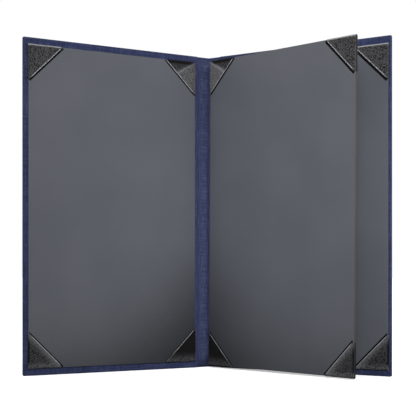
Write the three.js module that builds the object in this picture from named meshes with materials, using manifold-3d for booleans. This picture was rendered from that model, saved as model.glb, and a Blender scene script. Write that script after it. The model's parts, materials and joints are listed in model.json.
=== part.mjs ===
// A three-panel menu cover for 8.5 x 14 inch sheets, standing half open on its tail edges.
// Two boards wrapped in navy book cloth share a soft cloth spine, and a thinner leaf hangs between them.
// Each inner face carries a grey card liner whose corners wear black leatherette pockets for the sheet.
// Millimetres, +Z up. +X is to the right and -Y towards the reader, who looks into the open covers.
import * as THREE from "three";
import { mergeVertices } from "three/addons/utils/BufferGeometryUtils.js";
import Module from "manifold-3d";

// Covers: a board in book cloth that is turned in over three edges
const coverHeight = 373;
const coverWidth = 226; // from the spine gap to the fore edge
const coverBoard = 2;
const bookCloth = 0.45;
const turnIn = 16;
const clothRound = 1.2; // radius of the cloth over the board's edges
const cornerRound = 2; // radius of a wrapped corner

// Spine: cloth outside, cloth lining inside, folded down the middle
const spineGap = 25.4; // cloth between the two boards
const spineLining = 0.35;
const liningReach = 10; // how far the lining runs under a liner
const liningInset = 4; // how far the lining stops short of head and tail
const spineLift = 0.4; // the soft spine hangs this far clear of the table
const foldRadius = 2;

// Liners: grey card, a border of navy cloth left showing round them
const linerCard = 0.8;
const foreBorder = 5.9;
const spineBorder = 4.6;
const headBorder = 8;
const frontShift = { out: 0, up: 0 }; // how far each liner is glued off centre
const backShift = { out: 2.8, up: -1 };

// Corner pockets: leatherette over a liner's corner, its diagonal edge rolled
const leatherette = 0.4;
const flap = 0.25; // the skived part glued behind the liner
const flapWidth = 12;
const pocketLeg = 40;
const pocketSlot = 0.3; // room for the sheet's corner
const pocketEase = 0.15; // clearance round the liner's edge
const rollWidth = 2.6;
const rollRise = 0.3;

// Leaf: two thin liners glued on a core card, hung on a cloth hinge in the fold
const leafCore = 0.8;
const leafCard = 0.6;
const leafStart = 3.6; // from the hinge line to the leaf
const leafForeInset = 7.6; // the leaf ends this far inside the covers' fore edges
const leafEndInset = 5; // and this far inside head and tail
const leafLow = 1.5; // it hangs below the middle by this much
const leafSag = 0.45; // degrees that its fore edge drops
const hingeCloth = 0.25;
const hingeTab = 9; // glued into the leaf
const hingeFoot = 5; // glued on the spine lining
const hingeInset = 3; // the cloth hinge stops short of the leaf's ends

// Fits
const glueGap = 0.1;
const closedClearance = 0.5; // between facing pockets when the cover is shut

// The open cover: angles in degrees from the row's X axis, seen from above
const frontAngle = 32.7;
const backAngle = 34.9;
const leafAngle = 48;

// Derived sizes
const clothInset = bookCloth + glueGap;
const coverThickness = coverBoard + 2 * clothInset;
const spineEdge = spineGap / 2;
const foreEdge = spineEdge + coverWidth;
const linerBack = glueGap + flap + glueGap;
const pocketWall = pocketEase + leatherette;
const pocketHeight = linerBack + linerCard + pocketSlot + leatherette + rollRise;
const leafStack = leafCore / 2 + linerBack + leafCard + pocketSlot + leatherette + rollRise;
const innerFace = pocketHeight + leafStack + closedClearance; // from the hinge line to a cover
const outerFace = innerFace + coverThickness;
const linerWidth = coverWidth - foreBorder - spineBorder;
const linerHeight = coverHeight - 2 * headBorder;
const leafWidth = foreEdge - leafForeInset - leafStart;
const leafHeight = coverHeight - 2 * leafEndInset;
const sagShift = (leafHeight / 2) * Math.sin(THREE.MathUtils.degToRad(leafSag)); // at the leaf's corners
const halfOpening = THREE.MathUtils.degToRad((180 - frontAngle - backAngle) / 2);
const foldDirection = THREE.MathUtils.degToRad(90 - (backAngle - frontAngle) / 2);
const past = 5; // how far a cutting block runs past what it cuts

const navyCloth = new THREE.MeshStandardMaterial({ color: 0x2d3352, roughness: 0.85, metalness: 0 });
const spineNavy = new THREE.MeshStandardMaterial({ color: 0x474c6b, roughness: 0.85, metalness: 0 });
const greyCard = new THREE.MeshStandardMaterial({ color: 0x585b62, roughness: 0.6, metalness: 0 });
const blackLeather = new THREE.MeshStandardMaterial({ color: 0x1d1d20, roughness: 0.45, metalness: 0 });
const brownBoard = new THREE.MeshStandardMaterial({ color: 0x4b4440, roughness: 0.9, metalness: 0 });

const wasm = await Module();
wasm.setup();

// A closed geometry as a solid that can be joined and cut
function solid(geometry) {
  const bare = geometry.clone();
  bare.deleteAttribute("normal");
  bare.deleteAttribute("uv");
  const merged = mergeVertices(bare, 1e-4);
  return new wasm.Manifold(
    new wasm.Mesh({
      numProp: 3,
      vertProperties: merged.attributes.position.array,
      triVerts: new Uint32Array(merged.index.array),
    }),
  );
}

function piece(name, made, material) {
  const cut = made.getMesh();
  const geometry = new THREE.BufferGeometry();
  geometry.setAttribute("position", new THREE.BufferAttribute(cut.vertProperties, 3));
  geometry.setIndex(new THREE.BufferAttribute(cut.triVerts, 1));
  geometry.computeVertexNormals();
  const mesh = new THREE.Mesh(geometry, material);
  mesh.name = name;
  return mesh;
}

// An outline in a panel's own plane: x from the hinge line outwards, y up
function rectangle(left, bottom, right, top, radius = 0) {
  const shape = new THREE.Shape();
  shape.moveTo(left, bottom);
  if (radius > 0) {
    shape.lineTo(right - radius, bottom);
    shape.absarc(right - radius, bottom + radius, radius, -Math.PI / 2, 0);
    shape.lineTo(right, top - radius);
    shape.absarc(right - radius, top - radius, radius, 0, Math.PI / 2);
  } else {
    shape.lineTo(right, bottom);
    shape.lineTo(right, top);
  }
  shape.lineTo(left, top);
  shape.closePath();
  return shape;
}

function triangle(corner, leg) {
  const shape = new THREE.Shape();
  shape.moveTo(corner, corner);
  shape.lineTo(leg, corner);
  shape.lineTo(corner, leg);
  shape.closePath();
  return shape;
}

// A sheet of the panel: the outline stands up along Z, and its thickness lies along Y
function slab(outline, from, to, round = 0) {
  const geometry = new THREE.ExtrudeGeometry(outline, {
    depth: to - from - 2 * round,
    curveSegments: 5,
    bevelEnabled: round > 0,
    bevelThickness: round,
    bevelSize: round,
    bevelOffset: -round,
    bevelSegments: 3,
  });
  geometry.translate(0, 0, round - to);
  geometry.rotateX(Math.PI / 2);
  return geometry;
}

// A bent strip of cloth seen end-on: a line of points, its bends rounded, given a thickness
function ribbon(points, thickness, bend, bottom, top) {
  const path = new THREE.Path();
  path.moveTo(points[0].x, points[0].y);
  for (let i = 1; i < points.length - 1; i++) {
    const before = points[i - 1].clone().sub(points[i]);
    const after = points[i + 1].clone().sub(points[i]);
    const reach = Math.min(bend, before.length() / 2.1, after.length() / 2.1);
    const start = before.setLength(reach).add(points[i]);
    const end = after.setLength(reach).add(points[i]);
    path.lineTo(start.x, start.y);
    path.quadraticCurveTo(points[i].x, points[i].y, end.x, end.y);
  }
  const last = points[points.length - 1];
  path.lineTo(last.x, last.y);
  const line = path.getPoints(5);
  const left = [];
  const right = [];
  line.forEach((point, i) => {
    const into = point.clone().sub(line[Math.max(i - 1, 0)]).normalize();
    const out = line[Math.min(i + 1, line.length - 1)].clone().sub(point).normalize();
    const along = into.clone().add(out).normalize();
    const whole = i === 0 ? out : into;
    const half = thickness / 2 / Math.max(0.5, along.dot(whole));
    left.push(new THREE.Vector2(point.x - along.y * half, point.y + along.x * half));
    right.unshift(new THREE.Vector2(point.x + along.y * half, point.y - along.x * half));
  });
  const outline = new THREE.Shape([...left, ...right]);
  const geometry = new THREE.ExtrudeGeometry(outline, { depth: top - bottom, bevelEnabled: false });
  geometry.translate(0, 0, bottom);
  return solid(geometry);
}

// One piece of leatherette folded round a liner's corner: front skin, two edge walls, two flaps behind
function cornerPocket(card) {
  const front = linerBack + card + pocketSlot + leatherette;
  const wide = pocketLeg * 1.5;
  const roundOff = leatherette * 0.4;
  const envelope = solid(slab(triangle(-pocketWall, pocketLeg), glueGap, front, roundOff));
  const inside = rectangle(-pocketEase, -pocketEase, wide, wide);
  const hollow = solid(slab(inside, glueGap + flap, front - leatherette));
  const opening = rectangle(flapWidth, flapWidth, wide, wide);
  const behind = solid(slab(opening, glueGap - past, glueGap + flap + pocketSlot));
  const bead = new THREE.Shape();
  bead.absellipse(0, 0, rollWidth / 2, rollRise + roundOff, 0, Math.PI, false, 0);
  bead.closePath();
  const roll = new THREE.ExtrudeGeometry(bead, { depth: wide * 2, bevelEnabled: false, curveSegments: 8 });
  roll.translate(0, 0, -wide);
  roll.applyMatrix4(
    new THREE.Matrix4().makeBasis(
      new THREE.Vector3(Math.SQRT1_2, 0, Math.SQRT1_2),
      new THREE.Vector3(0, 1, 0),
      new THREE.Vector3(-Math.SQRT1_2, 0, Math.SQRT1_2),
    ),
  );
  const middle = (pocketLeg - pocketWall) / 2 - (rollWidth / 2) * Math.SQRT1_2;
  roll.translate(middle, front - roundOff, middle);
  const outline = triangle(roundOff - pocketWall, pocketLeg - roundOff);
  const within = solid(slab(outline, front - leatherette / 2, front + past));
  return envelope.subtract(hollow).subtract(behind).add(solid(roll).intersect(within));
}

// A liner and its four pockets, standing on the plane y = 0 and rising along +Y
function linedFace(name, width, height, card) {
  const face = new THREE.Group();
  const liner = solid(slab(rectangle(0, 0, width, height), linerBack, linerBack + card));
  face.add(piece(name + "_liner", liner, greyCard));
  const pocket = cornerPocket(card);
  for (const [side, x, flipX] of [["spine", 0, 1], ["fore", width, -1]]) {
    for (const [end, z, flipZ] of [["tail", 0, 1], ["head", height, -1]]) {
      const corner = piece(`${name}_pocket_${end}_${side}`, pocket, blackLeather);
      corner.position.set(x, 0, z);
      corner.scale.set(flipX, 1, flipZ);
      face.add(corner);
    }
  }
  return face;
}

// A board wrapped in cloth on three edges, with its lined face towards the hinge line
function cover(name, shift) {
  const panel = new THREE.Group();
  const wrap = rectangle(spineEdge - past, 0, foreEdge, coverHeight, cornerRound);
  const core = rectangle(spineEdge - 2 * past, bookCloth, foreEdge - bookCloth, coverHeight - bookCloth);
  const bare = rectangle(spineEdge - 2 * past, turnIn, foreEdge - turnIn, coverHeight - turnIn);
  const beyond = rectangle(spineEdge - 2 * past, -past, spineEdge, coverHeight + past);
  const cloth = solid(slab(wrap, innerFace, outerFace, clothRound))
    .subtract(solid(slab(core, innerFace + bookCloth, outerFace - bookCloth)))
    .subtract(solid(slab(bare, innerFace - past, innerFace + clothInset)))
    .subtract(solid(slab(beyond, innerFace - past, outerFace + past)));
  panel.add(piece(name + "_cloth", cloth, navyCloth));
  const edges = rectangle(spineEdge, clothInset, foreEdge - clothInset, coverHeight - clothInset);
  const board = solid(slab(edges, innerFace + clothInset, innerFace + clothInset + coverBoard));
  panel.add(piece(name + "_board", board, brownBoard));
  const face = linedFace(name, linerWidth, linerHeight, linerCard);
  face.scale.y = -1;
  face.position.set(spineEdge + spineBorder + shift.out, innerFace, headBorder + shift.up);
  panel.add(face);
  return panel;
}

const menuCover = new THREE.Group();
const hinge = new THREE.Group(); // the hinge line stands at its origin
menuCover.add(hinge);

const back = cover("back", backShift);
back.rotation.z = THREE.MathUtils.degToRad(-backAngle);
const front = cover("front", frontShift);
front.scale.y = -1;
front.rotation.z = THREE.MathUtils.degToRad(frontAngle - 180);
hinge.add(back, front);

// The leaf: a core card with a lined face on each side
const leaf = new THREE.Group();
leaf.rotation.z = THREE.MathUtils.degToRad(-leafAngle);
const sheet = new THREE.Group(); // turns about the middle of the leaf's hinge edge as it sags
sheet.position.set(leafStart, 0, leafEndInset - leafLow + leafHeight / 2);
sheet.rotation.y = THREE.MathUtils.degToRad(leafSag);
const coreCard = solid(slab(rectangle(0, 0, leafWidth, leafHeight), -leafCore / 2, leafCore / 2));
const leafBoard = piece("leaf_board", coreCard, brownBoard);
leafBoard.position.z = -leafHeight / 2;
const rearFace = linedFace("leaf_rear", leafWidth, leafHeight, leafCard);
rearFace.position.set(0, leafCore / 2, -leafHeight / 2);
const readerFace = linedFace("leaf_reader", leafWidth, leafHeight, leafCard);
readerFace.position.set(0, -leafCore / 2, -leafHeight / 2);
readerFace.scale.y = -1;
sheet.add(leafBoard, rearFace, readerFace);
leaf.add(sheet);
hinge.add(leaf);
menuCover.updateMatrixWorld(true);

// Points of the spine, seen from above: on a panel, and in the fold at the same depth
function on(panel, x, y) {
  const point = panel.localToWorld(new THREE.Vector3(x, y, 0));
  return new THREE.Vector2(point.x, point.y);
}
function fold(depth) {
  const reach = depth / Math.sin(halfOpening);
  return new THREE.Vector2(Math.cos(foldDirection) * reach, Math.sin(foldDirection) * reach);
}

// The spine's cloth: the covers' cloth carried across the gap, turned in at head and tail
const clothMiddle = outerFace - bookCloth / 2;
const turnInMiddle = clothMiddle - bookCloth - glueGap;
function acrossSpine(depth, thickness, bottom, top) {
  const edge = spineEdge - glueGap;
  const points = [on(front, edge, depth), fold(depth), on(back, edge, depth)];
  return ribbon(points, thickness, foldRadius, bottom, top);
}
const spineTop = coverHeight - spineLift;
let spineCloth = acrossSpine(clothMiddle, bookCloth, spineLift, spineTop);
for (const [low, high] of [[spineLift, turnIn], [coverHeight - turnIn, spineTop]]) {
  spineCloth = spineCloth.add(acrossSpine(turnInMiddle, bookCloth, low, high));
}
const hem = 2 * bookCloth + glueGap;
for (const low of [spineLift, spineTop - bookCloth]) {
  spineCloth = spineCloth.add(acrossSpine(outerFace - hem / 2, hem, low, low + bookCloth));
}
hinge.add(piece("spine_cloth", spineCloth, navyCloth));

// The lining: over the fold, down the boards' edges, and on under the liners between the turn-ins
const liningMiddle = turnInMiddle - bookCloth / 2 - glueGap - spineLining / 2;
const liningOnBoard = innerFace + spineLining / 2;
const liningStep = spineEdge - glueGap - spineLining / 2;
const liningEnd = spineEdge + liningReach;
const insideSpine = [
  on(front, liningStep, liningMiddle),
  fold(liningMiddle),
  on(back, liningStep, liningMiddle),
];
const overBoards = [
  on(front, liningEnd, liningOnBoard),
  on(front, liningStep, liningOnBoard),
  ...insideSpine,
  on(back, liningStep, liningOnBoard),
  on(back, liningEnd, liningOnBoard),
];
const clearOfTurnIn = turnIn + glueGap;
const lining = ribbon(insideSpine, spineLining, foldRadius, liningInset, coverHeight - liningInset)
  .add(ribbon(overBoards, spineLining, foldRadius, clearOfTurnIn, coverHeight - clearOfTurnIn));
hinge.add(piece("spine_lining", lining, spineNavy));

// The leaf's cloth hinge: a foot on the lining, the free part, and a tab between core and liner
const footMiddle = liningMiddle - spineLining / 2 - glueGap - hingeCloth / 2;
const tabMiddle = -(leafCore / 2 + glueGap + hingeCloth / 2);
const freePart = [
  on(front, footMiddle / Math.tan(halfOpening) + hingeFoot, footMiddle),
  fold(footMiddle),
  on(leaf, leafStart / 4, tabMiddle),
  on(leaf, leafStart - sagShift - pocketWall - glueGap, tabMiddle),
];
const withTab = [...freePart.slice(0, 3), on(leaf, leafStart + hingeTab, tabMiddle)];
const leafBottom = leafEndInset - leafLow;
const clearOfPocket = pocketLeg + hingeInset;
const clothHinge = ribbon(
  freePart, hingeCloth, foldRadius, leafBottom + hingeInset, leafBottom + leafHeight - hingeInset,
).add(ribbon(
  withTab, hingeCloth, foldRadius, leafBottom + clearOfPocket, leafBottom + leafHeight - clearOfPocket,
));
hinge.add(piece("leaf_hinge_cloth", clothHinge, spineNavy));

// The origin is the middle of the whole cover's footprint, on the table
const extent = new THREE.Box3().setFromObject(menuCover, true);
const centre = extent.getCenter(new THREE.Vector3());
hinge.position.set(-centre.x, -centre.y, -extent.min.z);

export default menuCover;
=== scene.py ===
# Three-panel menu cover in navy book cloth, standing half open, seen into its open side
import json
import math
import random

import bmesh
import bpy
from mathutils import Matrix, Vector, noise


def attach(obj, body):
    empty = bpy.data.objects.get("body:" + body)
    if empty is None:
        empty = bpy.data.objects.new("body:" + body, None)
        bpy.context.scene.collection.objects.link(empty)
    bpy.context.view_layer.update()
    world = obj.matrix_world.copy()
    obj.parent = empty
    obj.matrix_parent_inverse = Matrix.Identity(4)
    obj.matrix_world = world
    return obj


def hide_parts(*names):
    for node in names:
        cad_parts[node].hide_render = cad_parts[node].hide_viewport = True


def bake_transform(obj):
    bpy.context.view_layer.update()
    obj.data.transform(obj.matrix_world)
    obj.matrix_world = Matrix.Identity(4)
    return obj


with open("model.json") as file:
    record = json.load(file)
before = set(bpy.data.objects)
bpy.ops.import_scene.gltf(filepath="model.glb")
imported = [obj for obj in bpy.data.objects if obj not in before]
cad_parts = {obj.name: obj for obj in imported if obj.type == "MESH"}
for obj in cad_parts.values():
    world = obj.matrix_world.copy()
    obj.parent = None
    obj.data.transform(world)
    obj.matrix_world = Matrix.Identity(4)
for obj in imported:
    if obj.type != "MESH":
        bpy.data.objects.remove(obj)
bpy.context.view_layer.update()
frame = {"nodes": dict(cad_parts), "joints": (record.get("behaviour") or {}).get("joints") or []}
mm = 0.001
weld = 0.002 * mm  # points of a piece that are closer than this are joined
print("stage: the packed frame is loaded")

# The same placing as in the part's source, in metres and degrees
layout = {
    "frontAngle": 32.7,
    "backAngle": 34.9,
    "leafAngle": 48,
    "leafSag": 0.45,
    "coverHeight": 373 * mm,
    "coverWidth": 226 * mm,
    "spineGap": 25.4 * mm,
    "innerFace": 5.2 * mm,  # from the hinge line to a cover's inside
    "coverThickness": 3.1 * mm,
    "foreBorder": 5.9 * mm,
    "spineBorder": 4.6 * mm,
    "headBorder": 8 * mm,
    "linerCard": 0.8 * mm,
    "frontShift": (0, 0),  # how far a liner sits off its even borders, outwards and up
    "backShift": (2.8 * mm, -1 * mm),
    "leafCore": 0.8 * mm,
    "leafCard": 0.6 * mm,
    "leafStart": 3.6 * mm,  # from the hinge line to the leaf's spine edge
    "leafForeInset": 7.6 * mm,
    "leafEndInset": 5 * mm,
    "leafLow": 1.5 * mm,  # how far the leaf hangs below the middle of the covers' height
}
hingeX, hingeY, _ = frame["joints"][0]["pos_m"]
spineEdge = layout["spineGap"] / 2
foreEdge = spineEdge + layout["coverWidth"]
outerFace = layout["innerFace"] + layout["coverThickness"]
linerWidth = layout["coverWidth"] - layout["foreBorder"] - layout["spineBorder"]
linerHeight = layout["coverHeight"] - 2 * layout["headBorder"]
leafWidth = foreEdge - layout["leafForeInset"] - layout["leafStart"]
leafHeight = layout["coverHeight"] - 2 * layout["leafEndInset"]
leafBottom = layout["leafEndInset"] - layout["leafLow"]
halfFold = math.radians((180 - layout["frontAngle"] - layout["backAngle"]) / 2)
foldDirection = math.radians(90 - (layout["backAngle"] - layout["frontAngle"]) / 2)
angles = {
    "front": layout["frontAngle"] - 180,
    "back": -layout["backAngle"],
    "leaf": -layout["leafAngle"],
}
bodies = {"front": "front_cover", "back": "back_cover", "leaf": "leaf"}


def upright(angle, mirrored):
    # a panel's own axes: x away from the hinge line, y away from the reader's side, z up
    flip = Matrix.Diagonal((1, -1 if mirrored else 1, 1, 1))
    turn = Matrix.Rotation(math.radians(angle), 4, "Z")
    return Matrix.Translation((hingeX, hingeY, 0)) @ turn @ flip


panels = {name: upright(angle, name == "front") for name, angle in angles.items()}


def onPanel(panel, x, y):
    point = panels[panel] @ Vector((x, y, 0))
    return Vector((point.x, point.y, 0))


def foldPoint(depth):
    # where the two covers meet behind the hinge line, at a given depth of their layers
    reach = depth / math.sin(halfFold)
    x = hingeX + math.cos(foldDirection) * reach
    y = hingeY + math.sin(foldDirection) * reach
    return Vector((x, y, 0))


# Camera: level, where a fit of the photograph's perspective puts it
view = {
    "imageSide": 416,
    "sensor": 36,
    "focalPixels": 1181,
    "horizonRow": 273.8,
    "foldRow": 366.9,  # where the photograph shows the fold's foot
    "foldColumn": 208.9,
    "distance": 1.4256,  # from the lens to the fold
}


def makeCamera():
    data = bpy.data.cameras.new("camera")
    camera = bpy.data.objects.new("camera", data)
    bpy.context.scene.collection.objects.link(camera)
    data.sensor_width = view["sensor"]
    data.lens = view["focalPixels"] / view["imageSide"] * view["sensor"]
    middle = view["imageSide"] / 2
    data.shift_y = (view["horizonRow"] - middle) / view["imageSide"]
    perPixel = view["distance"] / view["focalPixels"]
    fold = foldPoint(layout["innerFace"])
    camera.location = (
        fold.x - (view["foldColumn"] - middle) * perPixel,
        fold.y - view["distance"],
        (view["foldRow"] - view["horizonRow"]) * perPixel,
    )
    camera.rotation_euler = (math.radians(90), 0, 0)
    bpy.context.scene.camera = camera


makeCamera()


# Shader maths: a Wire is an output socket, and an expression on wires adds its Math nodes
class Wire:
    def __init__(self, nodes, socket):
        self.nodes = nodes
        self.socket = socket

    def maths(self, operation, first, second):
        return self.nodes.node("ShaderNodeMath", {"operation": operation}, {0: first, 1: second})

    def __add__(self, other):
        return self.maths("ADD", self, other)

    def __radd__(self, other):
        return self.maths("ADD", other, self)

    def __sub__(self, other):
        return self.maths("SUBTRACT", self, other)

    def __rsub__(self, other):
        return self.maths("SUBTRACT", other, self)

    def __mul__(self, other):
        return self.maths("MULTIPLY", self, other)

    def __rmul__(self, other):
        return self.maths("MULTIPLY", other, self)

    def __gt__(self, other):
        return self.maths("GREATER_THAN", self, other)

    def __lt__(self, other):
        return self.maths("LESS_THAN", self, other)


class NodeTree:
    def __init__(self, tree):
        self.tree = tree

    def node(self, kind, settings, sockets, output=0):
        made = self.tree.nodes.new(kind)
        for name, value in settings.items():
            if name == "stops":
                for element, (place, colour) in zip(made.color_ramp.elements, value):
                    element.position = place
                    element.color = colour
            else:
                setattr(made, name, value)
        for name, value in sockets.items():
            self.feed(made.inputs[name], value)
        return Wire(self, made.outputs[output])

    def feed(self, socket, value):
        if isinstance(value, Wire):
            self.tree.links.new(value.socket, socket)
        else:
            socket.default_value = value

    def stretch(self, point, scale):
        return self.node("ShaderNodeVectorMath", {"operation": "MULTIPLY"}, {0: point, 1: scale})

    def parts(self, point):
        first = self.node("ShaderNodeSeparateXYZ", {}, {0: point})
        return [Wire(self, out) for out in first.socket.node.outputs]

    def grain(self, point, scale, detail):
        sockets = {"Vector": point, "Scale": scale, "Detail": detail}
        return self.node("ShaderNodeTexNoise", {}, sockets)

    def fibres(self, point, scale, detail):
        # noise with its own scale each way
        return self.grain(self.stretch(point, scale), 1, detail)

    def mix(self, factor, first, second):
        sockets = {0: factor, 6: first, 7: second}
        return self.node("ShaderNodeMix", {"data_type": "RGBA"}, sockets, 2)

    def ramp(self, factor, low, high):
        stops = [(low, (0, 0, 0, 1)), (high, (1, 1, 1, 1))]
        return self.node("ShaderNodeValToRGB", {"stops": stops}, {0: factor})

    def bump(self, height, strength, distance):
        sockets = {"Height": height, "Strength": strength, "Distance": distance}
        return self.node("ShaderNodeBump", {}, sockets)


class Finish(NodeTree):
    def __init__(self, name):
        self.material = bpy.data.materials.new(name)
        self.material.use_nodes = True
        super().__init__(self.material.node_tree)
        self.shader = self.tree.nodes["Principled BSDF"]

    def set(self, **sockets):
        for name, value in sockets.items():
            self.feed(self.shader.inputs[name.replace("_", " ")], value)

    def place(self, angle):
        # across, through and up a panel, in metres
        point = self.node("ShaderNodeTexCoord", {}, {}, 3)
        turn = {"Vector": point, "Angle": -math.radians(angle)}
        return self.node("ShaderNodeVectorRotate", {"rotation_type": "Z_AXIS"}, turn)


# Floor and light
studio = {
    "floorColour": (0.93, 0.93, 0.93, 1),
    "floorGlow": 0.42,
    "floorRoughness": 0.9,
    "floorSpecular": 0.1,
    "floorSize": 60,
    "above": (1, 1, 1, 1),
    "below": (0.08, 0.08, 0.085, 1),
    "belowStarts": -0.08,
    "lamps": {
        "key": {
            "power": 0.92,
            "size": 0.5,
            "spread": 30,
            "place": (-0.03, -1.25, 0.85),
            "target": (-0.01, 0, 0.235),
        },
        "side": {
            "power": 0.34,
            "size": 0.25,
            "spread": 24,
            "place": (0.6, -1.15, 0.7),
            "target": (0.27, -0.03, 0.2),
        },
    },
}


def makeSky():
    world = bpy.data.worlds.new("sky")
    world.use_nodes = True
    bpy.context.scene.world = world
    nodes = NodeTree(world.node_tree)
    direction = nodes.node("ShaderNodeTexCoord", {}, {})
    isAbove = nodes.parts(direction)[2] > studio["belowStarts"]
    shade = nodes.mix(isAbove, studio["below"], studio["above"])
    nodes.feed(world.node_tree.nodes["Background"].inputs["Color"], shade)


def makeFloor():
    mesh = bpy.data.meshes.new("floor")
    half = studio["floorSize"] / 2
    corners = [(-half, -half, 0), (half, -half, 0), (half, half, 0), (-half, half, 0)]
    mesh.from_pydata(corners, [], [(0, 1, 2, 3)])
    floor = bpy.data.objects.new("floor", mesh)
    bpy.context.scene.collection.objects.link(floor)
    pale = Finish("pale_floor")
    pale.set(
        Base_Color=studio["floorColour"],
        Roughness=studio["floorRoughness"],
        Specular_IOR_Level=studio["floorSpecular"],
        Emission_Color=studio["floorColour"],
        Emission_Strength=studio["floorGlow"],
    )
    mesh.materials.append(pale.material)
    floor.visible_diffuse = False
    floor.visible_glossy = False


def addLamp(name, lamp):
    data = bpy.data.lights.new(name, "AREA")
    data.energy = lamp["power"]
    data.size = lamp["size"]
    data.spread = math.radians(lamp["spread"])
    light = bpy.data.objects.new(name, data)
    light.location = lamp["place"]
    aim = Vector(lamp["target"]) - Vector(lamp["place"])
    light.rotation_euler = aim.to_track_quat("-Z", "Y").to_euler()
    bpy.context.scene.collection.objects.link(light)


bpy.context.scene.view_settings.view_transform = "Standard"
makeSky()
makeFloor()
for name, lamp in studio["lamps"].items():
    addLamp(name, lamp)
print("stage: camera, floor and light are in place")


# Book cloth: linen threads both ways, slubs, and a paler nap where threads stand proud
clothLook = {
    "navy": {
        "deep": (0.013, 0.018, 0.053, 1),
        "plain": (0.022, 0.030, 0.083, 1),
        "pale": (0.044, 0.055, 0.125, 1),
    },
    "lining": {
        "deep": (0.015, 0.020, 0.055, 1),
        "plain": (0.027, 0.034, 0.085, 1),
        "pale": (0.058, 0.068, 0.142, 1),
    },
    "threadPitch": 0.62 * mm,
    "alongThread": 60,  # changes to a metre along a thread
    "acrossThread": 900,
    "cloud": 28,  # slow changes to a metre, all ways
    "plainFrom": (0.38, 0.52),  # how proud a thread stands where deep turns plain
    "paleFrom": (0.5, 0.72),
    "cloudShare": 0.2,
    "weaveShare": 0.35,
    "threadShare": 1.6,
    "roughness": 0.82,
    "specular": 0.2,
    "sheen": 0.04,
    "sheenRoughness": 0.5,
    "bump": 0.9,
    "depth": 0.2 * mm,
}


def clothFinish(name, colours, angle=None):
    # without an angle the threads follow the mesh's own UV map: u along its line and v up
    look = clothLook
    finish = Finish(name)
    long, short = look["alongThread"], look["acrossThread"]
    if angle is None:
        point = finish.node("ShaderNodeUVMap", {"uv_map": "cloth"}, {})
        across, up, _ = finish.parts(point)
        lying = (long, short, long)
    else:
        point = finish.place(angle)
        across, _, up = finish.parts(point)
        lying = (long, long, short)
    turns = 2 * math.pi / look["threadPitch"]
    warp = finish.node("ShaderNodeMath", {"operation": "SINE"}, {0: across * turns})
    weft = finish.node("ShaderNodeMath", {"operation": "SINE"}, {0: up * turns})
    threads = finish.fibres(point, (short, long, long), 3) * 0.5
    threads = threads + finish.fibres(point, lying, 3) * 0.5
    cloud = (finish.grain(point, look["cloud"], 3) - 0.5) * look["cloudShare"]
    tones = look[colours]
    tone = finish.mix(finish.ramp(threads, *look["plainFrom"]), tones["deep"], tones["plain"])
    tone = finish.mix(finish.ramp(threads + cloud, *look["paleFrom"]), tone, tones["pale"])
    weave = warp * weft * look["weaveShare"] + threads * look["threadShare"]
    finish.set(
        Base_Color=tone,
        Roughness=look["roughness"] + cloud,
        Sheen_Weight=look["sheen"],
        Sheen_Roughness=look["sheenRoughness"],
        Specular_IOR_Level=look["specular"],
        Normal=finish.bump(weave, look["bump"], look["depth"]),
    )
    return finish.material


# Liner card and board: a dark grey face with a faint tooth, browner where it is cut, and painted shade
# where the open covers and the table meet
cardLook = {
    "face": (0.082, 0.088, 0.102, 1),
    "faceDark": (0.072, 0.078, 0.092, 1),
    "cut": (0.070, 0.062, 0.058, 1),
    "cutBelow": 0.6,  # a surface is a cut where its normal follows the face's by less than this
    "cloud": 14,
    "cloudFrom": (0.35, 0.7),
    "tooth": 2600,
    "fibre": (700, 700, 160),
    "bump": 0.5,
    "depth": 0.05 * mm,
    "roughness": 0.5,
    "roughnessChange": 0.25,
    "specular": 0.4,
    # the colour of the painted shade
    "hollowTone": (0.008, 0.009, 0.011, 1),
    "hollowReach": 0.2,  # how far off a surface still casts painted shade on the card, in metres
    "hollow": {  # the share of open sky where the painted shade is full, and where it has gone
        "front": (0.38, 0.655),
        "leaf": (0.29, 0.65),
    },
    "softEdge": {"liner": 0.15 * mm, "leaf": 0.1 * mm},
    "softAngle": 40,
    "softSteps": 2,
}


def cardSurface(finish, point):
    look = cardLook
    tooth = finish.grain(point, look["tooth"], 2)
    fibre = finish.fibres(point, look["fibre"], 3)
    finish.set(
        Roughness=look["roughness"] + (fibre - 0.5) * look["roughnessChange"],
        Specular_IOR_Level=look["specular"],
        Normal=finish.bump(tooth * 0.5 + fibre, look["bump"], look["depth"]),
    )


def boardFinish(name, angle):
    finish = Finish(name)
    cardSurface(finish, finish.place(angle))
    finish.set(Base_Color=cardLook["cut"])
    return finish.material


def cardFinish(name, angle, hollow=None):
    look = cardLook
    finish = Finish(name)
    point = finish.place(angle)
    cardSurface(finish, point)
    cloud = finish.grain(point, look["cloud"], 4)
    tone = finish.mix(finish.ramp(cloud, *look["cloudFrom"]), look["faceDark"], look["face"])
    if hollow:
        # painted shade: where the open covers and the table meet, hardly any light reaches the card, and
        # ambient occlusion darkens its colour there
        reach = {"Distance": look["hollowReach"]}
        sky = finish.node("ShaderNodeAmbientOcclusion", {"samples": 16}, reach, 1)
        tone = finish.mix(finish.ramp(sky, *look["hollow"][hollow]), look["hollowTone"], tone)
    outward = (-math.sin(math.radians(angle)), math.cos(math.radians(angle)), 0)
    normal = finish.node("ShaderNodeTexCoord", {}, {}, 1)
    both = {0: normal, 1: outward}
    facing = finish.node("ShaderNodeVectorMath", {"operation": "DOT_PRODUCT"}, both, 1)
    isCut = finish.node("ShaderNodeMath", {"operation": "ABSOLUTE"}, {0: facing}) < look["cutBelow"]
    finish.set(Base_Color=finish.mix(isCut, tone, look["cut"]))
    return finish.material
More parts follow.
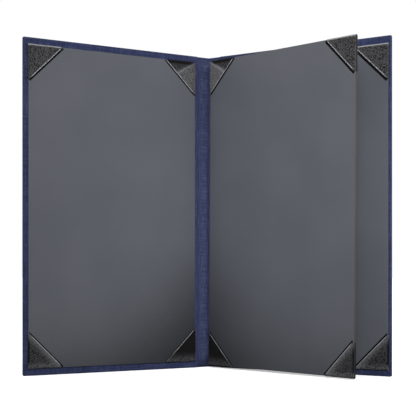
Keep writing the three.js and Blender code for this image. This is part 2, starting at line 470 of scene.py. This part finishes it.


# Leatherette: black and pebbled with lighter worn pebble tops, painted highlights along its rolled mouth
# and edges, and matt, painted black shade where its hem lies and on its flaps and shaded parts
leatherLook = {
    "black": (0.0045, 0.0045, 0.0052, 1),
    "worn": (0.085, 0.085, 0.0895, 1),
    # the painted black shade
    "lining": (0.0015, 0.0015, 0.0018, 1),
    # the painted highlight
    "paintedHighlight": (0.65, 0.66, 0.69, 1),
    "pebble": 760,
    "pebbleShare": 0.9,
    "fine": 1200,
    "fineShare": 0.7,
    "crease": 160,
    "creaseShare": 0.15,
    "wornFrom": (0.7, 1.5),
    "roughness": 0.45,
    "roughnessChange": 0.3,
    "hemRoughness": 0.4,  # where painted shade lies, as on the hem, the leather is this much rougher
    "specular": 0.2,
    "bump": 0.8,
    "depth": 0.33 * mm,
}


def leatherFinish():
    look = leatherLook
    finish = Finish("black_leatherette")
    point = finish.node("ShaderNodeTexCoord", {}, {}, 3)
    cells = {"Vector": point, "Scale": look["pebble"]}
    pebble = finish.node("ShaderNodeTexVoronoi", {"feature": "F1"}, cells)
    fine = finish.grain(point, look["fine"], 2)
    crease = finish.grain(point, look["crease"], 3)
    height = (1 - pebble) * look["pebbleShare"] + fine * look["fineShare"] + crease * look["creaseShare"]
    tone = finish.mix(finish.ramp(height, *look["wornFrom"]), look["black"], look["worn"])
    # painted highlight and painted shade, given at the pocket's points
    rolled = finish.node("ShaderNodeAttribute", {"attribute_name": "rolled"}, {}, 2)
    hem = finish.node("ShaderNodeAttribute", {"attribute_name": "hem"}, {}, 2)
    tone = finish.mix(rolled, finish.mix(hem, tone, look["lining"]), look["paintedHighlight"])
    roughness = look["roughness"] + (fine - 0.5) * look["roughnessChange"]
    finish.set(
        Base_Color=tone,
        Roughness=roughness + hem * look["hemRoughness"],
        Specular_IOR_Level=look["specular"],
        Normal=finish.bump(height, look["bump"], look["depth"]),
    )
    return finish.material


# Covers and leaf: these CAD nodes keep their shape and take a finish
def dress(node, material):
    piece = frame["nodes"][node]
    piece.data.materials.clear()
    piece.data.materials.append(material)


def soften(node, width):
    bevel = frame["nodes"][node].modifiers.new("soft edges", "BEVEL")
    bevel.width = width
    bevel.segments = cardLook["softSteps"]
    bevel.limit_method = "ANGLE"
    bevel.angle_limit = math.radians(cardLook["softAngle"])


def dressCover(side, hollow=None):
    dress(side + "_cloth", clothFinish(side + "_book_cloth", "navy", angles[side]))
    dress(side + "_liner", cardFinish(side + "_card", angles[side], hollow))
    soften(side + "_liner", cardLook["softEdge"]["liner"])
    dress(side + "_board", boardFinish(side + "_raw_board", angles[side]))


def dressLeaf():
    # both of the leaf's cards take painted shade
    card = cardFinish("leaf_card", angles["leaf"], "leaf")
    for node in ("leaf_reader_liner", "leaf_rear_liner"):
        dress(node, card)
        soften(node, cardLook["softEdge"]["leaf"])
    dress("leaf_board", boardFinish("leaf_raw_board", angles["leaf"]))


# the front liner and the leaf's cards take painted shade; the back liner has none
dressCover("front", "front")
dressCover("back")
dressLeaf()
print("stage: covers, liners and leaf are finished")


def newPiece(name, points, faces, material, slot, places=None, tones=None):
    # tones are values at the points, and places are their UV coordinates
    mesh = bpy.data.meshes.new(name)
    mesh.from_pydata([tuple(p) for p in points], [], faces)
    for attribute, values in (tones or {}).items():
        layer = mesh.attributes.new(attribute, "FLOAT", "POINT")
        layer.data.foreach_set("value", values)
    if places is not None:
        layer = mesh.uv_layers.new(name="cloth")
        for loop in mesh.loops:
            layer.data[loop.index].uv = places[loop.vertex_index]
    mesh.validate()
    piece = bpy.data.objects.new(name, mesh)
    bpy.context.scene.collection.objects.link(piece)
    work = bmesh.new()
    work.from_mesh(mesh)
    bmesh.ops.remove_doubles(work, verts=work.verts, dist=weld)
    bmesh.ops.recalc_face_normals(work, faces=work.faces)
    work.to_mesh(mesh)
    work.free()
    mesh.polygons.foreach_set("use_smooth", [True] * len(mesh.polygons))
    mesh.materials.append(material)
    return piece


# Corner pockets: leatherette folded round a card's corner, with its mouth rolled over a hem
pocket = {
    "leg": 40 * mm,
    "headLeg": 1.05,  # the leg along the head or tail is this many times as long
    "skin": 0.4 * mm,
    "flap": 0.25 * mm,
    "flapWidth": 12 * mm,
    "flapShare": 0.42,  # of a short row, for each flap
    "flapStep": 0.1 * mm,  # from a flap up to the wall's foot
    # painted shade on the flaps
    "flapShade": 0.9,
    "ease": 0.15 * mm,
    "slot": 0.3 * mm,
    "glue": 0.1 * mm,
    "rollRadius": 0.6 * mm,
    "rollAxis": 1.2,  # radii from the skin's end to the middle of the bead
    "rollRise": 0.2 * mm,
    "rollTurn": (125, -60),  # degrees, from the skin over the bead to the hem
    "rollPinch": 12,  # the bead is full from a twelfth of the mouth's length inwards
    "rollLow": 0.35,  # and this share of it is left at the very ends
    "beadShine": (2, 1),  # the line along the bead with the painted highlight, and its spread in lines
    "beadDark": 4,  # lines past this one take painted shade as black as the hem's
    "beadInset": 0.02,  # share of the mouth's length that keeps no painted highlight at each end
    "beadFade": 0.1,
    "hemWidth": 3.4 * mm,
    "hemStart": 0.5,  # radii past the bead's middle
    "hemUnder": 0.02 * mm,  # heights over the card
    "hemOver": 0.2 * mm,
    "gape": 0.25 * mm,  # the mouth stands off the card by this much more
    "gapeSpread": 0.7,  # the lower, the more evenly it does so along its length
    "gapeLate": 1.5,  # the higher, the nearer to the mouth the skin starts to rise
    "gapeSway": 0.2,
    "wave": 0.04 * mm,
    "waveTurns": (6, 7),  # along the skin and across it
    "waveSway": (4, 5),
    "sideRound": 0.8 * mm,
    "sideDrop": 0.8 * mm,
    "round": {"head": 1.7 * mm, "tail": 2.6 * mm},
    "drop": {"head": 0.8 * mm, "tail": 1.5 * mm},
    "leastHeight": 0.2 * mm,
    "creaseSlope": 0.55,
    "creaseSunk": 0.45 * mm,
    "creaseWidth": 3 * mm,
    "creasePaintedLight": 0.045,
    "creaseRise": (-2 * mm, 3 * mm),  # where the painted highlight past a crease begins and is full
    "ridgePaintedLight": 0.09,
    "ridge": (1.5 * mm, 1.2 * mm),  # middle and width of the painted highlight along a crease
    # painted shade on the head side of a crease, and where it fades
    "creaseShade": (-3 * mm, 1 * mm),
    "creaseBand": (3.5 * mm, 6 * mm),  # the band of painted shade along the head of a creased pocket
    "glintBand": (0.8 * mm, 0.5 * mm),  # middle and width of the painted glint along the head's edge
    # painted light near the mouth, and where it clears the painted shade
    "glowWidth": 4 * mm,
    "glowShade": (-1.3 * mm, 1.7 * mm),
    # painted shade along the side edges
    "rimBand": (0.8 * mm, 2.6 * mm),
    "farHemShadow": 1.45,  # on the reader's right the hem's painted shadow line shows this many times as wide
    "farPaintedLight": 1.7,  # and a creased skin takes this many times as much painted highlight
    "acrossSteps": 28,
    "outSteps": 22,
    "rollSteps": 9,
}
leatherette = leatherFinish()

# How much painted light and shade each pocket takes, and how deep its crease, from 0 to 1: by the spine
# its head is creased and its tail is painted in deep shade
unpaintedUncreased = {"crease": 0, "glint": 0, "glow": 0, "rim": 0, "foot": 0}
paintedLightAndCrease = {
    ("head", "spine"): {"crease": 1, "shade": 0.1, "fade": 0.05, "bead": 0.8, "hemShows": 1 * mm},
    ("head", "fore"): {"glint": 0.45, "shade": 0.3, "fade": 0.05, "bead": 1, "hemShows": 2 * mm},
    ("tail", "spine"): {
        "shade": 1, "rim": 1, "foot": 0.004, "footReach": (-4 * mm, 13 * mm),
        "fade": 0.4, "bead": 0.4, "hemShows": 0.7 * mm,
    },
    ("tail", "fore"): {
        "shade": 0.5, "rim": 1, "foot": 0.02, "footReach": (3 * mm, 8 * mm), "glow": 0.09,
        "fade": 0.1, "bead": 0.85, "hemShows": 1.4 * mm,
    },
}


def between(low, high, value):
    # 0 below low, 1 above high, and a smooth step from one to the other
    t = min(1.0, max(0.0, (value - low) / (high - low)))
    return t * t * (3 - 2 * t)


def hump(middle, width, value):
    return math.exp(-((value - middle) / width) ** 2)


def easeDown(distance, width):
    # 1 at an edge, falling to 0 along a quarter circle at the given width
    t = max(0.0, 1 - distance / width)
    return 1 - math.sqrt(max(0.0, 1 - t * t))


def skinTones(style, far, fromHead, fromSide, fromMouth):
    # how much painted highlight and painted shade the skin takes at a point
    size = pocket
    past = fromHead - size["creaseSlope"] * fromSide
    creaseHighlight = size["creasePaintedLight"] * between(*size["creaseRise"], past)
    creaseHighlight += size["ridgePaintedLight"] * hump(*size["ridge"], past)
    paintedLight = style["glint"] * hump(*size["glintBand"], fromHead)
    paintedLight += style["glow"] * hump(0, size["glowWidth"], fromMouth)
    paintedLight += style["crease"] * creaseHighlight * (size["farPaintedLight"] if far else 1)
    shade = style["shade"]
    if style["glow"]:
        shade *= between(*size["glowShade"], fromMouth)
    shade = max(shade, style["rim"] * (1 - between(*size["rimBand"], fromSide)))
    shade = max(shade, style["crease"] * (1 - between(*size["creaseBand"], fromHead)))
    shade = max(shade, style["crease"] * 0.5 * (1 - between(*size["creaseShade"], past)))
    # painted light near the foot's edge, clearing the painted shade there
    if style["foot"]:
        inner = between(*style["footReach"], fromHead)
        paintedLight += style["foot"] * (1 - inner)
        shade *= inner
    return paintedLight, shade


class PocketShape:
    # u runs out along the head or tail from the card's corner, v along its side, then the height
    def __init__(self, card, seed, style, end, far):
        size = pocket
        self.style = style
        self.end = end
        self.far = far
        self.wall = size["ease"] + size["skin"]
        self.cardTop = 2 * size["glue"] + size["flap"] + card
        self.top = self.cardTop + size["slot"] + size["skin"]
        self.axis = size["rollAxis"] * size["rollRadius"]
        self.skinEnd = size["leg"] + self.wall - (self.axis + size["rollRadius"]) * math.sqrt(2)
        draws = random.Random(seed)
        self.sway = [draws.uniform(-1, 1) for _ in range(3)]
        steps = size["acrossSteps"]
        self.along = [(1 - math.cos(math.pi * j / steps)) / 2 for j in range(steps + 1)]

    def skinHeight(self, s, t, fromHead, fromSide):
        size = pocket
        lift, swayOut, swayAcross = self.sway
        middle = math.sin(math.pi * t)
        drop = size["drop"][self.end] * easeDown(fromHead, size["round"][self.end])
        drop += size["sideDrop"] * easeDown(fromSide, size["sideRound"])
        gape = size["gape"] * middle ** size["gapeSpread"] * s ** size["gapeLate"]
        gape *= 1 + size["gapeSway"] * lift
        out = math.sin(size["waveTurns"][0] * s + size["waveSway"][0] * swayOut)
        across = math.sin(size["waveTurns"][1] * t + size["waveSway"][1] * swayAcross)
        wave = size["wave"] * middle * out * across
        past = fromHead - size["creaseSlope"] * fromSide
        crease = hump(-size["creaseWidth"], size["creaseWidth"], past)
        sunk = self.style["crease"] * size["creaseSunk"] * crease * middle * s
        deepest = self.top - size["glue"] - size["leastHeight"]
        return self.top - min(drop, deepest) + gape + wave - sunk

    def skinRow(self, s):
        # flap, wall, skin, wall and flap, parallel to the diagonal: s is 0 at the corner, 1 at the roll
        size = pocket
        reach = s * self.skinEnd
        outer = reach - self.wall
        inner = min(size["flapWidth"], reach * size["flapShare"]) - self.wall
        back = size["glue"]
        foot = back + size["flapStep"]
        fromMouth = (self.skinEnd - reach) * math.sqrt(0.5)
        points = [(outer, inner, back), (outer, -self.wall, foot)]
        # the flaps take painted shade
        tones = [(0, size["flapShade"])] * 2
        for t in self.along:
            fromSide = reach * (1 - t)
            fromHead = reach * t
            height = self.skinHeight(s, t, fromHead, fromSide)
            points.append((fromSide - self.wall, fromHead - self.wall, height))
            tones.append(skinTones(self.style, self.far, fromHead, fromSide, fromMouth))
        points += [(-self.wall, outer, foot), (inner, outer, back)]
        tones += [(0, size["flapShade"])] * 2
        return points, tones

    def beadLine(self, number, mouth):
        # one line along the rolled mouth, from the skin over the bead and down, with painted highlight
        # along its crown and painted shade past it
        size = pocket
        first, last = size["rollTurn"]
        radius = size["rollRadius"]
        turn = math.radians(first + (last - first) * number / size["rollSteps"])
        shift = self.axis + radius * math.cos(turn)
        lift = size["rollRise"] - radius + radius * math.sin(turn)
        bright = self.style["bead"] * hump(*size["beadShine"], number)
        dark = 1 if number > size["beadDark"] else 0
        points = []
        tones = []
        for t, (u, v, height) in zip(self.along, mouth):
            pinch = min(1, min(t, 1 - t) * size["rollPinch"])
            level = height + lift * (size["rollLow"] + (1 - size["rollLow"]) * pinch)
            lit = between(0, self.style["fade"], t - size["beadInset"])
            lit *= between(0, size["beadFade"], 1 - size["beadInset"] - t)
            points.append(self.shifted(u, v, shift, level))
            tones.append((bright * lit, dark))
        return points, tones

    def hemLines(self, mouth):
        # the hem lies on the card, shows past the bead, and goes back under it, painted black all over as
        # a shadow line
        size = pocket
        wider = size["farHemShadow"] if self.far else 1
        start = self.axis + size["rollRadius"] * size["hemStart"]
        shows = self.axis + size["rollRadius"] + self.style["hemShows"] * wider
        under, over = size["hemUnder"], size["hemOver"]
        ends = [(start, over), (shows, over), (shows, under), (self.axis - size["hemWidth"], under)]
        for shift, lift in ends:
            points = [self.shifted(u, v, shift, self.cardTop + lift) for u, v, _ in mouth]
            yield points, [(0, 1)] * len(points)

    def shifted(self, u, v, shift, level):
        out = shift * math.sqrt(0.5)
        return (max(u + out, -self.wall), max(v + out, -self.wall), level)

    def mesh(self):
        points, tones, faces = [], [], []

        def addLine(line, before):
            start = len(points)
            points.extend(line[0])
            tones.extend(line[1])
            here = range(start, len(points))
            for a, b, c, d in zip(before, before[1:], here, here[1:]):
                faces.append((a, b, d, c))
            return here

        edge = ()
        for i in range(pocket["outSteps"] + 1):
            edge = addLine(self.skinRow(i / pocket["outSteps"]), edge)
        edge = edge[2:-2]
        mouth = [points[k] for k in edge]
        for number in range(pocket["rollSteps"] + 1):
            edge = addLine(self.beadLine(number, mouth), edge)
        for line in self.hemLines(mouth):
            edge = addLine(line, edge)
        points = [(u * pocket["headLeg"], v, height) for u, v, height in points]
        # the painted highlight and painted shade at the points become the mesh's attributes
        paintedLight, shade = zip(*tones)
        return points, faces, {"rolled": paintedLight, "hem": shade}


# Where the cards lie: the panel, the side of it they face (-1 is the reader's), and their sizes
cards = {
    "front": ("front", -1, layout["frontShift"], linerWidth, linerHeight, layout["linerCard"]),
    "back": ("back", -1, layout["backShift"], linerWidth, linerHeight, layout["linerCard"]),
    "leaf_rear": ("leaf", 1, (0, 0), leafWidth, leafHeight, layout["leafCard"]),
    "leaf_reader": ("leaf", -1, (0, 0), leafWidth, leafHeight, layout["leafCard"]),
}


def cardPlace(panel, facing, shift, height):
    # x across a card and z up it from its lower spine corner, and y away from its back
    flip = Matrix.Diagonal((1, facing, 1, 1))
    if panel == "leaf":
        middle = Matrix.Translation((layout["leafStart"], 0, leafBottom + height / 2))
        sag = Matrix.Rotation(math.radians(layout["leafSag"]), 4, "Y")
        corner = Matrix.Translation((0, facing * layout["leafCore"] / 2, -height / 2))
        return panels[panel] @ middle @ sag @ corner @ flip
    corner = (
        spineEdge + layout["spineBorder"] + shift[0],
        layout["innerFace"],
        layout["headBorder"] + shift[1],
    )
    return panels[panel] @ Matrix.Translation(corner) @ flip


def makePocket(node, place, body, shape):
    points, faces, tones = shape.mesh()
    world = [place @ Vector((u, height, v)) for u, v, height in points]
    name = node + "_leather"
    piece = newPiece(name, world, faces, leatherette, "black_leatherette", tones=tones)
    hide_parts(node)
    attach(piece, body)


seed = 1
for name, (panel, facing, shift, width, height, card) in cards.items():
    place = cardPlace(panel, facing, shift, height)
    for side, x, flipX in (("spine", 0, 1), ("fore", width, -1)):
        for end, z, flipZ in (("tail", 0, 1), ("head", height, -1)):
            corner = place @ Matrix.Translation((x, 0, z)) @ Matrix.Diagonal((flipX, 1, flipZ, 1))
            # each pocket takes the painted light and crease of its corner, and those on the reader's right
            # more painted highlight and wider painted shadow lines
            style = unpaintedUncreased | paintedLightAndCrease[end, side]
            shape = PocketShape(card, seed, style, end, panel != "front")
            makePocket(f"{name}_pocket_{end}_{side}", corner, bodies[panel], shape)
            seed += 1
print("stage: the corner pockets are made")


# Spine: cloth and lining, in halves that meet in the fold
spine = {
    "cloth": 0.45 * mm,
    "lining": 0.35 * mm,
    "glue": 0.1 * mm,
    "lift": 0.15 * mm,
    "liningInset": 4 * mm,
    "liningFoot": 1.2 * mm,
    "liningReach": 10 * mm,
    "turnIn": 16 * mm,
    "ripple": 0.1 * mm,
    "rippleScale": (60, 22),  # across and up
    "thinEnd": 0.3,  # how much thinner the cloth is where it ends
    "thinReach": 1.2 * mm,
    "rows": 60,
    "foldSteps": 7,
    "foldRadius": 2.2 * mm,
    "hinge": 0.25 * mm,
    "hingeFoot": 5 * mm,
    "hingeTab": 9 * mm,
    "hingeInset": 3 * mm,
    "hingeRadius": 1.5 * mm,
    "hingeSteps": 6,
    "cornerShare": 0.48,  # the most of a straight stretch that one rounded corner takes
}
spineCloth = (clothFinish("spine_book_cloth", "navy"), "navy_book_cloth")
spineLining = (clothFinish("spine_lining_cloth", "lining"), "spine_lining_cloth")
layers = {"cloth": spineCloth, "lining": spineLining, "hinge": spineLining}

# Depths of the middles of the layers, from the hinge line
clothDepth = outerFace - spine["cloth"] / 2
turnInDepth = clothDepth - spine["cloth"] - spine["glue"]
liningDepth = outerFace - 2 * (spine["cloth"] + spine["glue"]) - spine["lining"] / 2


def smoothLine(points, reach, steps):
    # the line with its corners rounded off
    line = [points[0]]
    for before, here, after in zip(points, points[1:], points[2:]):
        back, on = before - here, after - here
        start = here + back.normalized() * min(reach, back.length * spine["cornerShare"])
        end = here + on.normalized() * min(reach, on.length * spine["cornerShare"])
        for k in range(steps + 1):
            t = k / steps
            line.append(start * (1 - t) ** 2 + here * 2 * t * (1 - t) + end * t ** 2)
    line.append(points[-1])
    return line


def strip(name, line, layer, low, high, ripple=0.0, thinEnd=spine["thinEnd"]):
    # a strip of one layer, seen end-on as a line of points, running up from low to high
    rows = spine["rows"]
    up = Vector((0, 0, 1))
    scaleAcross, scaleUp = spine["rippleScale"]
    sides = []
    for i in range(len(line)):
        ahead = line[min(i + 1, len(line) - 1)] - line[max(i - 1, 0)]
        sides.append(ahead.normalized().cross(up))
    lengths = [0.0]
    for a, b in zip(line, line[1:]):
        lengths.append(lengths[-1] + (b - a).length)
    ring = list(range(len(line))) + list(reversed(range(len(line))))
    points, places, quads = [], [], []
    for r in range(rows + 1):
        z = low + (high - low) * r / rows
        fromEnd = min(z - low, high - z)
        thin = 1 - thinEnd * max(0.0, 1 - fromEnd / spine["thinReach"]) ** 2
        for k, i in enumerate(ring):
            half = spine[layer] / 2 * thin * (1 if k < len(line) else -1)
            spot = Vector((line[i].x * scaleAcross, line[i].y * scaleAcross, z * scaleUp))
            points.append(line[i] + sides[i] * (half + ripple * noise.noise(spot)) + up * z)
            places.append((lengths[i], z))
    wide = len(ring)
    for r in range(rows):
        for k in range(wide):
            a = r * wide + k
            b = r * wide + (k + 1) % wide
            quads.append((a, b, b + wide, a + wide))
    for r in (0, rows):
        for k in range(len(line) - 1):
            a = r * wide
            quads.append((a + k, a + k + 1, a + wide - 2 - k, a + wide - 1 - k))
    return newPiece(name, points, quads, *layers[layer], places)


def foldedTo(panel, depth, points):
    # one half of a line that goes over the fold: from the fold's crown out to the panel
    other = "back" if panel == "front" else "front"
    whole = [onPanel(other, spineEdge, depth), foldPoint(depth)] + points
    line = smoothLine(whole, spine["foldRadius"], 2 * spine["foldSteps"])
    return line[1 + spine["foldSteps"]:]


def makeCloth(panel):
    line = foldedTo(panel, clothDepth, [onPanel(panel, spineEdge, clothDepth)])
    high = layout["coverHeight"] - spine["lift"]
    return strip(f"spine_cloth_{panel}", line, "cloth", spine["lift"], high, spine["ripple"])


def makeTurnIns(panel):
    line = foldedTo(panel, turnInDepth, [onPanel(panel, spineEdge, turnInDepth)])
    top = layout["coverHeight"]
    ends = {"tail": (spine["lift"], spine["turnIn"]), "head": (top - spine["turnIn"], top - spine["lift"])}
    return [strip(f"spine_turn_in_{end}_{panel}", line, "cloth", *ends[end]) for end in ends]


def makeLining(panel):
    # out of the fold, over the board's spine edge and on under the liner
    step = spineEdge - spine["glue"] - spine["lining"] / 2
    onBoard = layout["innerFace"] + spine["lining"] / 2
    path = [
        onPanel(panel, step, liningDepth),
        onPanel(panel, step, onBoard),
        onPanel(panel, spineEdge + spine["liningReach"], onBoard),
    ]
    line = foldedTo(panel, liningDepth, path)
    high = layout["coverHeight"] - spine["liningInset"]
    return strip(f"spine_lining_{panel}", line, "lining", spine["liningFoot"], high, spine["ripple"])


for panel in ("front", "back"):
    cloth = makeCloth(panel)
    turnIns = makeTurnIns(panel)
    inside = makeLining(panel)
    if panel == "back":
        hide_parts("spine_cloth")
        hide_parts("spine_lining")
    foldAt = foldPoint(clothDepth)
    for piece in [cloth, inside] + turnIns:
        if panel == "front":
            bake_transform(piece)
        else:
            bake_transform(piece)


def makeLeafHinge():
    # from the spine's lining, past the fold, to a tab on the leaf's core
    foot = liningDepth - spine["lining"] / 2 - spine["glue"] - spine["hinge"] / 2
    tab = -(layout["leafCore"] / 2 + spine["glue"] + spine["hinge"] / 2)
    path = [
        onPanel("front", foot / math.tan(halfFold) + spine["hingeFoot"], foot),
        foldPoint(foot),
        onPanel("leaf", layout["leafStart"] / 4, tab),
        onPanel("leaf", layout["leafStart"] + spine["hingeTab"], tab),
    ]
    line = smoothLine(path, spine["hingeRadius"], spine["hingeSteps"])
    low = leafBottom + spine["hingeInset"]
    high = leafBottom + leafHeight - spine["hingeInset"]
    piece = strip("leaf_hinge_strip", line, "hinge", low, high, thinEnd=0.0)
    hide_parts("leaf_hinge_cloth")
    foldPoint(clothDepth)
    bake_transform(piece)


makeLeafHinge()
print("stage: the spine and the leaf's hinge are made")

print("stage: done")
